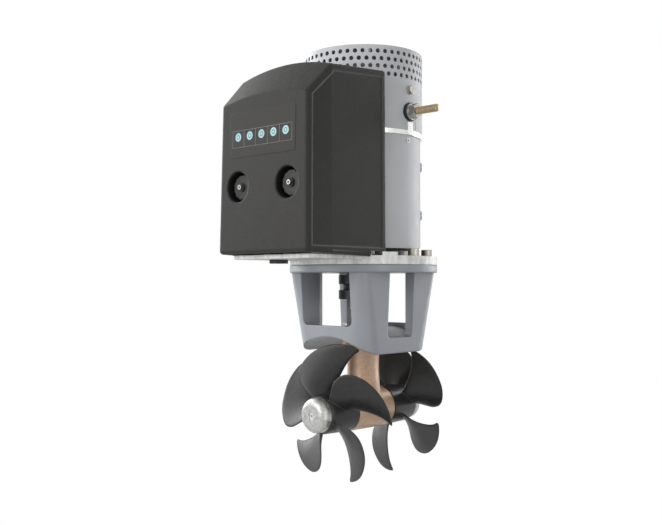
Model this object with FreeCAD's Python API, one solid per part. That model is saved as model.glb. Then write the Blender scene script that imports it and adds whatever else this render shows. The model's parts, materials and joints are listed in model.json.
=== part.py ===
import FreeCAD, Part
import math
import os

# Bow thruster for a 185 mm tunnel, millimetres.
# +Z runs up the drive shaft to the motor, the propeller shaft runs along Y, and the
# origin is where the two shafts cross. The control cover faces -Y and the terminal +X.

# ---- tunnel and propellers, the driving dimensions ----
TUNNEL_R = 98.5            # outside of the tunnel wall, the radius of the bracket's saddle
PROP_R = 90.5              # propeller tip radius, 2 mm inside the tunnel bore
CLEARANCE = 0.05           # running clearance, radial
HUB_R = 25.0
HUB_LENGTH = 50.0
ANODE_LENGTH = 14.0
BLADES = 5
BLADE_PITCH = 255.0        # advance per turn
BLADE_TURN = 29.0          # angle of the first blade tip from the top, clockwise from -Y
BLADE_FORWARD = 25.0       # degrees of helix that set the blades towards the nose
REAR_TURN = -14.0          # the rear propeller's own turn on the shaft
# radius, mid-chord angle ahead of the tip line, chord, thickness
BLADE_SECTIONS = ((22.0, -42.0, 26.0, 6.0),
                  (36.0, -43.0, 37.0, 4.6),
                  (52.0, -42.0, 51.0, 3.8),
                  (68.0, -35.5, 58.0, 3.2),
                  (80.0, -24.0, 49.0, 2.6),
                  (87.0, -12.0, 31.0, 2.0),
                  (PROP_R - 0.4, -5.5, 16.0, 1.5))
PIN_R = 2.5                # drive pin through shaft and hub
PIN_Y = 46.0
PIN_REACH = 14.0

# ---- mounting bracket and adapter plate ----
FLANGE_R = 98.6
FLANGE_Z0 = 181.0
FLANGE_Z1 = 191.0
PLATE_Z1 = 202.0
FEET_Z = 77.0              # underside of the bracket's feet
FEET = (61.5, 68.0, 30.0)  # half X, half Y and corner radius at the feet
NECK = (67.0, 76.0, 12.0)  # the same under the flange
WALL_Y = 61.0              # inside of the bracket's front and rear walls
WALL_X = 47.0
FRONT_SILL_Z = 112.5
SIDE_SILL_Z = 96.5
FRONT_WINDOW_HALF = 42.5
SIDE_WINDOW_HALF = 25.0
WINDOW_CORNER_R = 7.0
FLOOR_R = 108.0            # upper face of the bracket's arched floor
MOTOR_OPENING_R = 40.0     # hole through the flange for the coupling
EXTENSION_Z0 = 197.0       # underside of the tongue that carries the control gear
EXTENSION_HALF = 72.0
EXTENSION_Y = -168.0
BOLT_CIRCLE_R = 86.0
BOLT_COUNT = 8
BOLT_R = 5.0
BOLT_TIP_Z = 182.5         # the screws end inside the flange

# ---- motor ----
YOKE_R = 76.5
YOKE_WALL = 7.0
YOKE_BORE_R = YOKE_R - YOKE_WALL
YOKE_Z0 = 212.0
BELL_NECK_R = 53.0
BELL_Z1 = 222.0
POLE_Z0 = 236.0
POLE_Z1 = 338.0
POLE_COUNT = 4
POLE_START = 45.0
POLE_SCREW_Z = (258.0, 323.0)
RING_Z0 = 358.0
BAND_Z0 = 364.0
BAND_R = 79.0
BAND_WALL = 1.6
MOTOR_TOP = 469.0
HOLE_R = 2.8               # vents in the band
HOLE_ROWS = 4
HOLES_PER_ROW = 51
HOLE_FIRST = 7.8           # from the band's top to its first row
HOLE_PITCH_Z = 9.4
TERMINAL_Z = 387.5
STUD_TIP_X = 124.0
STUD_ROOT_R = 5.25
INSULATOR_X = BAND_R + 2.6
WASHER_X = INSULATOR_X + 1.4
NUT_X = 84.4
NUT_HEIGHT = 8.4
BAND_BOLT_Z = 416.0
BRUSH_Z = 372.0
SPRING_X = 56.2
COMMUTATOR_R = 27.0
CORE_Z0 = 240.0
CORE_Z1 = 334.0
CORE_R = 44.2
SLOTS = 12

# ---- shafts, bearings and coupling ----
SHAFT_R = 8.5              # armature shaft at the drive-end bearing
SHAFT_TOP_R = 7.5
DRIVE_SHAFT_R = 7.0
PROP_SHAFT_R = 8.0
BEARING_WIDTH = 12.0
TOP_BEARING_WIDTH = 11.0
SMALL_BEARING_WIDTH = 8.0
LOWER_BEARING_R = 20.0
UPPER_BEARING_R = 17.5
PINION_BEARING_R = 11.5
SHAFT_BEARING_R = 12.5
LOWER_BEARING_Z = 217.0
UPPER_BEARING_Z = MOTOR_TOP - 21.0
PINION_BEARING_Z = 29.0
SHAFT_BEARING_Y = 21.0
COUPLING_R = 33.0
UPPER_DISC = (166.0, 178.0)
LOWER_DISC = (146.0, 158.0)
JAW_COUNT = 3
JAW_R0 = 15.0
JAW_R1 = 28.0
JAW_HALF_ANGLE = 24.0

# ---- bevel gears ----
MODULE = 1.75
PINION_TEETH = 13
GEAR_TEETH = 21
FACE_WIDTH = 7.0
PINION_CONE = math.degrees(math.atan2(PINION_TEETH, GEAR_TEETH))
CONE_DISTANCE = MODULE / 2 * math.hypot(PINION_TEETH, GEAR_TEETH)
ADDENDUM = 0.85 * MODULE
DEDENDUM = 1.10 * MODULE
PRESSURE = math.radians(20)
BACKLASH = 0.30
PINION_BACK_Z = 20.0

# ---- gear leg ----
TORPEDO_R = 26.5
TORPEDO_HALF = 36.0
CAVITY_R = 21.5
STRUT_HALF_X = 15.5
STRUT_HALF_Y = 27.5
STRUT_FLARE = 5.0          # the strut widens by this into the torpedo and the flange
LEG_FLANGE_IN = 86.0
LEG_FLANGE_OUT = 96.5
LEG_BOLT_Y = 31.0
LEG_BOLT_R = 3.5
LEG_EAR_R = 8.5
SEAL_R = 11.0
SEAL_Z = 86.0

# ---- control gear and cover ----
COVER_X = -5.0             # middle of the control gear and its cover
COVER_WALL = 3.0
COVER_REAR_Y = -47.7
COVER_EDGE_R = 5.0
COVER_STEP = 0.8           # side panels lie this far inside their border
COVER_BORDER = 8.0
# Frames of the cover from front to rear: y low, y high, half width low, half width high,
# bottom z, side top z, rise of the crown above it
COVER_FRAMES = ((-182.0, -179.0, 78.5, 75.5, 203.0, 389.0, 9.0),
                (-142.0, -142.0, 81.0, 80.0, 201.5, 426.0, 11.0),
                (COVER_REAR_Y, COVER_REAR_Y, 83.5, 82.5, 199.0, 432.5, 11.0))
KNOB_X = 43.5              # from the middle of the cover
KNOB_Z = 286.0
KNOB_CUP_R = 19.5
KNOB_SEAT_Y = -162.0
KNOB_R = 15.0
STUD_R = 3.0
STUD_TIP_Y = -178.0
BRACKET_Y = -86.0
BRACKET_HALF = 50.0
BRACKET_TOP = 392.0
BRACKET_SHEET = 2.5
GLAND_X = -32.0
GLAND_Y = -126.0
GLAND_R = 8.0
CONTACTOR_R = 20.0
CONTACTOR_X = 27.0
CONTACTOR_Y = -117.5
CONTACTOR_TOP = 262.0
CONTACTOR_POST_R = 4.0
CONTACTOR_POST_Y = 10.0

ORIGIN = FreeCAD.Vector(0, 0, 0)
X_AXIS = FreeCAD.Vector(1, 0, 0)
Y_AXIS = FreeCAD.Vector(0, 1, 0)
Z_AXIS = FreeCAD.Vector(0, 0, 1)


def point(x, y, z):
    return FreeCAD.Vector(x, y, z)


def post(r, z0, z1, x=0.0, y=0.0):
    """An upright cylinder."""
    return Part.makeCylinder(r, z1 - z0, point(x, y, z0), Z_AXIS)


def rod_y(r, y0, y1, x=0.0, z=0.0):
    """A cylinder along Y."""
    return Part.makeCylinder(r, y1 - y0, point(x, y0, z), Y_AXIS)


def rod_x(r, x0, x1, y=0.0, z=0.0):
    """A cylinder along X."""
    return Part.makeCylinder(r, x1 - x0, point(x0, y, z), X_AXIS)


def block(x0, x1, y0, y1, z0, z1):
    return Part.makeBox(x1 - x0, y1 - y0, z1 - z0, point(x0, y0, z0))


def prism(points, along):
    """A closed outline swept straight along a vector."""
    return Part.Face(Part.makePolygon(points + [points[0]])).extrude(along)


def turned(profile, axis=Z_AXIS):
    """A solid of revolution from (radius, height along the axis) pairs."""
    if axis == Z_AXIS:
        points = [point(r, 0, h) for r, h in profile]
    else:
        points = [point(r, h, 0) for r, h in profile]
    face = Part.Face(Part.makePolygon(points + [points[0]]))
    return face.revolve(ORIGIN, axis, 360)


def spun(shape, angle, axis=Z_AXIS, centre=ORIGIN):
    """A copy turned about an axis."""
    copy = shape.copy()
    copy.rotate(centre, axis, angle)
    return copy


def ring_of(shape, count, axis=Z_AXIS, start=0.0):
    """Copies evenly spaced around an axis."""
    return [spun(shape, start + 360.0 * k / count, axis) for k in range(count)]


def sector(r0, r1, half_angle, z0, z1):
    """A slice of a tube centred on +X."""
    tube = Part.makeCylinder(r1, z1 - z0, point(0, 0, z0), Z_AXIS, 2 * half_angle)
    tube = tube.cut(post(r0, z0, z1))
    return spun(tube, -half_angle)


def hexagon(across_flats, height, at, along):
    """A hexagon head or nut blank from a base point along an axis."""
    r = across_flats / math.sqrt(3.0)
    corners = [point(r * math.cos(math.radians(60 * k)), r * math.sin(math.radians(60 * k)), 0)
               for k in range(6)]
    solid = prism(corners, point(0, 0, height))
    solid.Placement = FreeCAD.Placement(at, FreeCAD.Rotation(Z_AXIS, along))
    return solid


def save(name, *solids):
    """Writes one node, a single solid or a group of separate ones."""
    shape = solids[0] if len(solids) == 1 else Part.makeCompound(list(solids))
    shape.exportStep(os.path.join("parts", name + ".step"))


# ---- mounting bracket and adapter plate ----

def rounded_rectangle(half_x, half_y, r, z):
    """A level rounded rectangle, as a wire of four lines and four arcs."""
    edges = []
    for quarter in range(4):
        turn = FreeCAD.Rotation(Z_AXIS, 90.0 * quarter)
        along, across = (half_x, half_y) if quarter % 2 == 0 else (half_y, half_x)
        start = turn.multVec(point(along, across - r, z))
        middle = turn.multVec(point(along - r * (1 - math.sqrt(0.5)), across - r * (1 - math.sqrt(0.5)), z))
        end = turn.multVec(point(along - r, across, z))
        following = turn.multVec(point(-along + r, across, z))
        edges += [Part.Arc(start, middle, end).toShape(), Part.makeLine(end, following)]
    return Part.Wire(edges)


def bracket_outer():
    """Tapered body whose corners grow rounder towards the feet, over the tunnel saddle."""
    body = Part.makeLoft([rounded_rectangle(*FEET, FEET_Z), rounded_rectangle(*NECK, FLANGE_Z0)],
                         True, True)
    return body.cut(rod_y(TUNNEL_R, -100, 100))


def bracket_cavity():
    """Space inside the four legs, above the arched floor."""
    quarter = [(FRONT_WINDOW_HALF, -WALL_Y - 1), (FRONT_WINDOW_HALF, -40),
               (WALL_X + 5, -SIDE_WINDOW_HALF)]
    outline = list(quarter)
    outline += [(x, -y) for x, y in reversed(quarter)]
    outline += [(-x, -y) for x, y in quarter]
    outline += [(-x, y) for x, y in reversed(quarter)]
    cavity = prism([point(x, y, FEET_Z) for x, y in outline], point(0, 0, FLANGE_Z0 - FEET_Z))
    return cavity.cut(rod_y(FLOOR_R, -100, 100))


def window(half, sill, inside):
    """A window cutter through the -Y wall with rounded lower corners."""
    cutter = block(-half, half, -110, -inside, sill, FLANGE_Z0)
    edges = [e for e in cutter.Edges
             if abs(e.Vertexes[0].Z - sill) < 1e-6 and abs(e.Vertexes[1].Z - sill) < 1e-6
             and abs(e.Vertexes[0].X - e.Vertexes[1].X) < 1e-6]
    return cutter.makeFillet(WINDOW_CORNER_R, edges)


def motor_bracket():
    """Painted casting: tapered body on four legs, under a round flange."""
    body = bracket_outer().cut(bracket_cavity())
    front = window(FRONT_WINDOW_HALF, FRONT_SILL_Z, WALL_Y)
    side = window(SIDE_WINDOW_HALF, SIDE_SILL_Z, WALL_X)
    body = body.cut(front).cut(spun(front, 180))
    body = body.cut(spun(side, 90)).cut(spun(side, -90))
    flange = post(FLANGE_R, FLANGE_Z0, FLANGE_Z1)
    rim = [e for e in flange.Edges if e.Length > FLANGE_R]
    flange = flange.makeChamfer(1.0, rim)
    body = body.fuse(flange).removeSplitter()
    body = body.cut(post(MOTOR_OPENING_R, FLANGE_Z0 - 1, FLANGE_Z1 + 1))
    body = body.cut(post(DRIVE_SHAFT_R + 4, FEET_Z, FLOOR_R + 5))
    for hole in leg_bolt_holes():
        body = body.cut(hole)
    for hole in ring_of(post(BOLT_R, BOLT_TIP_Z, FLANGE_Z1 + 1, BOLT_CIRCLE_R), BOLT_COUNT):
        body = body.cut(hole)
    return body


def leg_bolt_holes():
    return [post(LEG_BOLT_R + 0.3, FEET_Z, 120, 0, y) for y in (-LEG_BOLT_Y, LEG_BOLT_Y)]


def adapter_plate():
    """Cast plate: a disc over the bracket and a thin tongue under the control cover."""
    disc = post(FLANGE_R, FLANGE_Z1, PLATE_Z1)
    tongue = block(COVER_X - EXTENSION_HALF, COVER_X + EXTENSION_HALF, EXTENSION_Y, 0,
                   EXTENSION_Z0, PLATE_Z1)
    corners = [e for e in tongue.Edges
               if abs(e.Vertexes[0].X - e.Vertexes[1].X) < 1e-6
               and abs(e.Vertexes[0].Y - EXTENSION_Y) < 1e-6
               and abs(e.Vertexes[1].Y - EXTENSION_Y) < 1e-6]
    tongue = tongue.makeFillet(10.0, corners)
    pad = spun(sector(84.0, FLANGE_R, 6.0, PLATE_Z1 - 1, PLATE_Z1 + 4.5), -29)
    plate = disc.fuse([tongue, pad]).removeSplitter()
    plate = plate.cut(post(BELL_NECK_R - 8, FLANGE_Z1 - 1, PLATE_Z1 + 1))
    for hole in ring_of(post(BOLT_R + 0.4, FLANGE_Z1 - 1, PLATE_Z1 + 1, BOLT_CIRCLE_R), BOLT_COUNT):
        plate = plate.cut(hole)
    return plate.cut(post(GLAND_R, EXTENSION_Z0 - 1, PLATE_Z1 + 1, GLAND_X, GLAND_Y))


def adapter_bolts():
    """Socket cap screws through the plate into the bracket flange."""
    head = post(8.0, PLATE_Z1, PLATE_Z1 + 10, BOLT_CIRCLE_R)
    rim = [e for e in head.Edges if abs(e.CenterOfMass.z - PLATE_Z1 - 10) < 1e-6]
    head = head.makeFillet(1.0, rim)
    socket = hexagon(8.0, 6.0, point(BOLT_CIRCLE_R, 0, PLATE_Z1 + 5), Z_AXIS)
    bolt = head.fuse(post(BOLT_R, BOLT_TIP_Z, PLATE_Z1, BOLT_CIRCLE_R)).cut(socket)
    return ring_of(bolt, BOLT_COUNT)


# ---- motor ----

def motor_yoke():
    """Steel field tube, drilled for the pole screws."""
    tube = post(YOKE_R, YOKE_Z0, RING_Z0).cut(post(YOKE_BORE_R, YOKE_Z0, RING_Z0))
    for z in POLE_SCREW_Z:
        hole = rod_x(4.0, YOKE_BORE_R - 2, YOKE_R + 2, 0, z)
        for copy in ring_of(hole, POLE_COUNT, start=POLE_START):
            tube = tube.cut(copy)
    return tube


def pole_shoes():
    core = sector(50.0, YOKE_BORE_R, 14, POLE_Z0, POLE_Z1)
    face = sector(45.0, 50.0, 32, POLE_Z0, POLE_Z1)
    shoe = core.fuse(face).removeSplitter()
    for z in POLE_SCREW_Z:
        shoe = shoe.cut(rod_x(4.0, 58, YOKE_BORE_R + 1, 0, z))
    return ring_of(shoe, POLE_COUNT, start=POLE_START)


def field_coils():
    coil = sector(51.0, 66.5, 36, POLE_Z0 - 12, POLE_Z1 + 12)
    coil = coil.cut(sector(49.0, 70.0, 14.6, POLE_Z0 - 1, POLE_Z1 + 1))
    return ring_of(coil, POLE_COUNT, start=POLE_START)


def pole_screws():
    screws = []
    for z in POLE_SCREW_Z:
        head = rod_x(6.5, YOKE_R - 0.6, YOKE_R + 2.4, 0, z)
        rim = [e for e in head.Edges if abs(e.CenterOfMass.x - YOKE_R - 2.4) < 1e-6]
        head = head.makeFillet(1.6, rim).cut(post(YOKE_R, z - 8, z + 8))
        screw = head.fuse(rod_x(3.9, 58.5, YOKE_R, 0, z))
        slot = block(YOKE_R + 1.2, YOKE_R + 3, -7, 7, z - 0.8, z + 0.8)
        screws += ring_of(screw.cut(slot), POLE_COUNT, start=POLE_START)
    return screws


def drive_end_bell():
    """Lower motor end: neck on the plate, spigot in the yoke, bearing seat."""
    bell = turned([(14, PLATE_Z1), (BELL_NECK_R, PLATE_Z1), (BELL_NECK_R, YOKE_Z0 - 0.8),
                   (YOKE_BORE_R, YOKE_Z0 - 0.8), (YOKE_BORE_R, BELL_Z1 - 4),
                   (34, BELL_Z1 - 4), (26, BELL_Z1 + 8), (14, BELL_Z1 + 8)])
    return bell.cut(post(LOWER_BEARING_R, LOWER_BEARING_Z, BELL_Z1 + 9))


def bearing(r_in, r_out, width, inner=False):
    """Ball bearing from z = 0: the outer ring and its balls, or the inner ring."""
    wall = (r_out - r_in) * 0.27
    middle = (r_in + r_out) / 2
    ball_r = (r_out - r_in) / 2 - wall + 0.55
    groove = Part.makeTorus(middle, ball_r + 0.08, point(0, 0, width / 2), Z_AXIS)
    if inner:
        return [post(r_in + wall, 0, width).cut(post(r_in, 0, width)).cut(groove)]
    outer = post(r_out, 0, width).cut(post(r_out - wall, 0, width)).cut(groove)
    ball = Part.makeSphere(ball_r, point(middle, 0, width / 2))
    return [outer] + ring_of(ball, 7)


def moved(solids, x, y, z):
    for solid in solids:
        solid.translate(point(x, y, z))
    return solids


def lying(solids, y):
    """Stands solids built along Z on the propeller axis, from y towards +Y."""
    placed = [spun(solid, -90, X_AXIS) for solid in solids]
    return moved(placed, 0, y, 0)


def perforated_band():
    """Sheet band with staggered rows of vents and the terminal holes."""
    band = post(BAND_R, BAND_Z0, MOTOR_TOP).cut(post(BAND_R - BAND_WALL, BAND_Z0, MOTOR_TOP))
    step = 360.0 / HOLES_PER_ROW
    cutters = []
    for row in range(HOLE_ROWS):
        z = MOTOR_TOP - HOLE_FIRST - HOLE_PITCH_Z * row
        ring_r = HOLE_R * 1.05
        corners = [point(BAND_R - 4, ring_r * math.cos(math.radians(60 * k)),
                         z + ring_r * math.sin(math.radians(60 * k))) for k in range(6)]
        cutter = prism(corners, point(6, 0, 0))
        cutters += ring_of(cutter, HOLES_PER_ROW, start=step * 0.5 * (row % 2))
    band = band.cut(Part.makeCompound(cutters))
    band = band.cut(rod_x(7.0, 70, 85, 0, TERMINAL_Z))
    return band.cut(rod_x(3.1, 70, 85, 0, BAND_BOLT_Z))


def clamp_ring():
    """Plated ring between yoke and band, with an upright tab under the terminal."""
    ring = post(BAND_R, RING_Z0, BAND_Z0).cut(post(YOKE_BORE_R, RING_Z0, BAND_Z0))
    tab = sector(BAND_R, BAND_R + 1.6, 3.6, RING_Z0, TERMINAL_Z - 13)
    return ring.fuse(tab).removeSplitter()


def top_shield():
    """Commutator end shield closing the band, with a bearing hub and four cast arms."""
    disc = post(BAND_R - BAND_WALL, MOTOR_TOP - 5, MOTOR_TOP - 1)
    hub = post(24.0, UPPER_BEARING_Z - 3, MOTOR_TOP - 5)
    arm = block(20, BAND_R - BAND_WALL - 1, -4, 4, MOTOR_TOP - 9, MOTOR_TOP - 5)
    shield = disc.fuse([hub] + ring_of(arm, 4, start=45)).removeSplitter()
    return shield.cut(post(UPPER_BEARING_R, UPPER_BEARING_Z - 4, UPPER_BEARING_Z + TOP_BEARING_WIDTH))


def brush_ring():
    """Insulated ring that carries the four brush boxes."""
    ring = post(BAND_R - BAND_WALL, BRUSH_Z - 4, BRUSH_Z).cut(post(44, BRUSH_Z - 4, BRUSH_Z))
    box_outer = block(31, 50, -7, 7, BRUSH_Z - 4, BRUSH_Z + 22)
    opening = block(30, 51, -5.1, 5.1, BRUSH_Z + 1.9, BRUSH_Z + 20.1)
    holder = box_outer.cut(opening)
    return ring.fuse(ring_of(holder, POLE_COUNT, start=POLE_START)).removeSplitter()


def brushes():
    brush = block(COMMUTATOR_R + CLEARANCE, 43, -5, 5, BRUSH_Z + 2, BRUSH_Z + 20)
    brush = brush.cut(post(COMMUTATOR_R + CLEARANCE, BRUSH_Z, BRUSH_Z + 22))
    return ring_of(brush, POLE_COUNT, start=POLE_START)


def brush_springs():
    """Flat coil springs pressing the brushes inwards."""
    coil = post(6.0, BRUSH_Z, BRUSH_Z + 10, SPRING_X).cut(post(4.6, BRUSH_Z, BRUSH_Z + 10, SPRING_X))
    return ring_of(coil, POLE_COUNT, start=POLE_START)


def terminal_insulator():
    """Insulating bush through the band with a wide outer washer."""
    bush = rod_x(12.0, BAND_R - 1, INSULATOR_X, 0, TERMINAL_Z).cut(post(BAND_R, 360, 410))
    bush = bush.fuse([rod_x(6.9, BAND_R - 8, BAND_R + 1, 0, TERMINAL_Z),
                      rod_x(11.0, BAND_R - 9, BAND_R - 4, 0, TERMINAL_Z)]).removeSplitter()
    return bush.cut(rod_x(STUD_ROOT_R, 60, 90, 0, TERMINAL_Z))


def terminal_stud():
    root = rod_x(STUD_ROOT_R, BAND_R - 12, NUT_X + NUT_HEIGHT, 0, TERMINAL_Z)
    stud = root.fuse(rod_x(5.0, BAND_R, STUD_TIP_X, 0, TERMINAL_Z)).removeSplitter()
    tip = [e for e in stud.Edges if abs(e.CenterOfMass.x - STUD_TIP_X) < 1e-6]
    return stud.makeChamfer(1.0, tip)


def terminal_washers():
    """Plain washer, lock washer and thin spacer against the insulator."""
    plain = rod_x(10.5, INSULATOR_X, WASHER_X, 0, TERMINAL_Z)
    lock = rod_x(8.6, WASHER_X, NUT_X, 0, TERMINAL_Z)
    bore = rod_x(STUD_ROOT_R, 60, 110, 0, TERMINAL_Z)
    return [plain.cut(bore), lock.cut(bore)]


def terminal_nut():
    nut = hexagon(17.0, NUT_HEIGHT, point(NUT_X, 0, TERMINAL_Z), X_AXIS)
    chamfer = Part.makeCone(14.5, 8.6, 5.9, point(NUT_X + 2.9, 0, TERMINAL_Z), X_AXIS)
    nut = nut.common(chamfer.fuse(rod_x(14.5, NUT_X, NUT_X + 2.9, 0, TERMINAL_Z)))
    return nut.cut(rod_x(STUD_ROOT_R, 60, 110, 0, TERMINAL_Z))


def band_bolt():
    head = hexagon(10.0, 4.0, point(BAND_R + 1.2, 0, BAND_BOLT_Z), X_AXIS)
    washer = rod_x(6.0, BAND_R - 0.3, BAND_R + 1.2, 0, BAND_BOLT_Z).cut(post(BAND_R, 400, 430))
    shank = rod_x(3.0, BAND_R - 8, BAND_R + 1, 0, BAND_BOLT_Z)
    return head.fuse([washer, shank]).removeSplitter()


def inspection_tag():
    tag = block(YOKE_R - 1, YOKE_R + 0.8, -3, 3, RING_Z0 - 10, RING_Z0 - 4)
    return tag.cut(post(YOKE_R, RING_Z0 - 12, RING_Z0))


# ---- rotor ----

def armature_shaft():
    return turned([(0, 165), (SHAFT_R, 165), (SHAFT_R, LOWER_BEARING_Z + BEARING_WIDTH),
                   (11, LOWER_BEARING_Z + BEARING_WIDTH), (11, UPPER_BEARING_Z),
                   (SHAFT_TOP_R, UPPER_BEARING_Z), (SHAFT_TOP_R, UPPER_BEARING_Z + TOP_BEARING_WIDTH),
                   (0, UPPER_BEARING_Z + TOP_BEARING_WIDTH)])


def armature_slot(clear):
    return block(30 - clear, CORE_R + 2, -3 - clear, 3 + clear, CORE_Z0 - 4, CORE_Z1 + 4)


def armature_core():
    core = post(CORE_R, CORE_Z0, CORE_Z1).cut(post(11, CORE_Z0, CORE_Z1))
    for slot in ring_of(armature_slot(0), SLOTS):
        core = core.cut(slot)
    return core


def armature_windings():
    """Slot bars joined by a wrapped head at each end."""
    lower = turned([(16, CORE_Z0 - 8), (37, CORE_Z0 - 8), (41, CORE_Z0 - 4), (41, CORE_Z0),
                    (16, CORE_Z0)])
    upper = turned([(16, CORE_Z1), (41, CORE_Z1), (41, CORE_Z1 + 8), (30, CORE_Z1 + 26),
                    (16, CORE_Z1 + 26)])
    bar = block(30, CORE_R - 1.2, -3, 3, CORE_Z0, CORE_Z1)
    return lower.fuse([upper] + ring_of(bar, SLOTS)).removeSplitter()


def commutator():
    body = turned([(11, 362), (30, 362), (30, 368), (COMMUTATOR_R, 368), (COMMUTATOR_R, 404),
                   (11, 404)])
    slit = block(COMMUTATOR_R - 1.2, 31, -0.4, 0.4, 360, 406)
    for cut in ring_of(slit, 24):
        body = body.cut(cut)
    return body


def coupling_half(disc, hub_z, jaw_z0, jaw_z1, bore_r, start):
    """A coupling flange with a hub and three jaws."""
    half = post(COUPLING_R, disc[0], disc[1]).fuse(post(18, hub_z[0], hub_z[1]))
    jaw = sector(JAW_R0, JAW_R1, JAW_HALF_ANGLE, jaw_z0, jaw_z1)
    half = half.fuse(ring_of(jaw, JAW_COUNT, start=start)).removeSplitter()
    return half.cut(post(bore_r, hub_z[0] - 20, hub_z[1] + 20))


def coupling_upper():
    return coupling_half(UPPER_DISC, (UPPER_DISC[0], 196.0), LOWER_DISC[1] + 0.5, UPPER_DISC[0] + 1,
                         SHAFT_R, 0)


def coupling_lower():
    return coupling_half(LOWER_DISC, (132.0, LOWER_DISC[1]), LOWER_DISC[1] - 1, UPPER_DISC[0] - 0.5,
                         DRIVE_SHAFT_R, 60)


def coupling_element():
    """Rubber spider filling the gaps between the jaws."""
    arm = sector(JAW_R0, JAW_R1, 5.8, LOWER_DISC[1] + 1.2, UPPER_DISC[0] - 1.2)
    centre = post(JAW_R0 - 0.2, LOWER_DISC[1] + 1.2, UPPER_DISC[0] - 1.2)
    return centre.fuse(ring_of(arm, 6, start=30)).removeSplitter().cut(post(9, 150, 170))


def drive_shaft():
    return turned([(0, PINION_BACK_Z), (DRIVE_SHAFT_R, PINION_BACK_Z), (DRIVE_SHAFT_R, 157),
                   (0, 157)])


# ---- bevel gears ----

def bevel_flank(teeth, cone_deg, height):
    """Half tooth thickness at a height above pitch, as an involute on the back cone."""
    pitch_r = MODULE * teeth / 2 / math.cos(math.radians(cone_deg))
    base_r = pitch_r * math.cos(PRESSURE)
    r = max(pitch_r + height, base_r)
    at = math.acos(base_r / r)
    involute = math.tan(PRESSURE) - PRESSURE - (math.tan(at) - at)
    return r * ((math.pi * MODULE / 2 - BACKLASH) / (2 * pitch_r) + involute)


def bevel_gear(teeth, cone_deg, bore_r, hub_r, hub_back):
    """Straight bevel gear with its apex at the origin, opening along +Z."""
    cone = math.radians(cone_deg)
    outward = point(math.cos(cone), 0, -math.sin(cone))
    element = point(math.sin(cone), 0, math.cos(cone))
    inner = (CONE_DISTANCE - FACE_WIDTH) / CONE_DISTANCE

    def on_back(height, across, scale):
        return (element * CONE_DISTANCE + outward * height + Y_AXIS * across) * scale

    def outline(scale):
        low, mid, high = -DEDENDUM - 0.4, 0.0, ADDENDUM
        half = [bevel_flank(teeth, cone_deg, h) for h in (low, mid, high)]
        left = Part.Arc(on_back(low, -half[0], scale), on_back(mid, -half[1], scale),
                        on_back(high, -half[2], scale)).toShape()
        right = Part.Arc(on_back(high, half[2], scale), on_back(mid, half[1], scale),
                         on_back(low, half[0], scale)).toShape()
        tip = Part.LineSegment(on_back(high, -half[2], scale), on_back(high, half[2], scale)).toShape()
        root = Part.LineSegment(on_back(low, half[0], scale), on_back(low, -half[0], scale)).toShape()
        return Part.Wire([left, tip, right, root])

    tooth = Part.makeLoft([outline(1.0), outline(inner)], True, True)
    root_big = on_back(-DEDENDUM, 0, 1.0)
    root_small = on_back(-DEDENDUM, 0, inner)
    blank = turned([(bore_r, root_small.z), (root_small.x, root_small.z),
                    (root_big.x, root_big.z), (hub_r, root_big.z + 1.5), (hub_r, hub_back),
                    (bore_r, hub_back)])
    return blank.fuse(ring_of(tooth, teeth)).removeSplitter()


def drive_pinion():
    """Pinion with one tooth pointing along +Y, where it meets the gear."""
    pinion = bevel_gear(PINION_TEETH, PINION_CONE, 4.2, 8.6, PINION_BEARING_Z - 1.5)
    return spun(pinion, 90).cut(post(DRIVE_SHAFT_R, PINION_BACK_Z, 60))


def output_gear():
    """Gear on the +Y side of the apex, with a tooth gap at the top."""
    gear = bevel_gear(GEAR_TEETH, 90 - PINION_CONE, PROP_SHAFT_R, 13.0, 18.6)
    gear = spun(gear, 180.0 / GEAR_TEETH)
    gear = spun(gear, -90, X_AXIS)
    return spun(gear, -90, Y_AXIS)


# ---- gear leg ----

def ellipse_wire(half_x, half_y, z):
    """Ellipse with its long axis along Y."""
    return Part.Wire(Part.Ellipse(point(0, half_y, z), point(half_x, 0, z), point(0, 0, z)).toShape())


def oval(z0, z1):
    """Two-bolt oval outline around the strut."""
    outline = ellipse_wire(STRUT_HALF_X + STRUT_FLARE, STRUT_HALF_Y + 2, z0)
    middle = Part.Face(outline).extrude(point(0, 0, z1 - z0))
    ends = [post(LEG_EAR_R, z0, z1, 0, y) for y in (-LEG_BOLT_Y, LEG_BOLT_Y)]
    return middle.fuse(ends).removeSplitter()


def gear_leg():
    """Torpedo, streamlined strut and saddle flange in one bronze casting."""
    torpedo = rod_y(TORPEDO_R, -TORPEDO_HALF, TORPEDO_HALF)
    rims = [e for e in torpedo.Edges if e.Length > TORPEDO_R]
    torpedo = torpedo.makeFillet(3.0, rims)
    sections = [(STRUT_FLARE, 14.0), (0.8, 33.0), (0.0, 44.0), (0.0, 70.0), (1.2, 79.0),
                (STRUT_FLARE, LEG_FLANGE_OUT + 2)]
    strut = Part.makeLoft([ellipse_wire(STRUT_HALF_X + wider, STRUT_HALF_Y + wider * 0.8, z)
                           for wider, z in sections], True, False)
    flange = oval(78, 100).cut(rod_y(LEG_FLANGE_IN, -45, 45))
    leg = torpedo.fuse([strut, flange])
    leg = leg.common(rod_y(LEG_FLANGE_OUT, -50, 50)).removeSplitter()
    leg = leg.cut(rod_y(CAVITY_R, -TORPEDO_HALF - 1, TORPEDO_HALF + 1))
    leg = leg.cut(post(PINION_BEARING_R, 10, PINION_BEARING_Z + SMALL_BEARING_WIDTH + 1))
    leg = leg.cut(post(13.4, 5, PINION_BACK_Z + 4))
    leg = leg.cut(post(DRIVE_SHAFT_R + 1.5, 10, 100))
    leg = leg.cut(post(SEAL_R, SEAL_Z, 100))
    for y in (-LEG_BOLT_Y, LEG_BOLT_Y):
        leg = leg.cut(post(LEG_BOLT_R, 75, 100, 0, y))
    return leg


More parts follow.
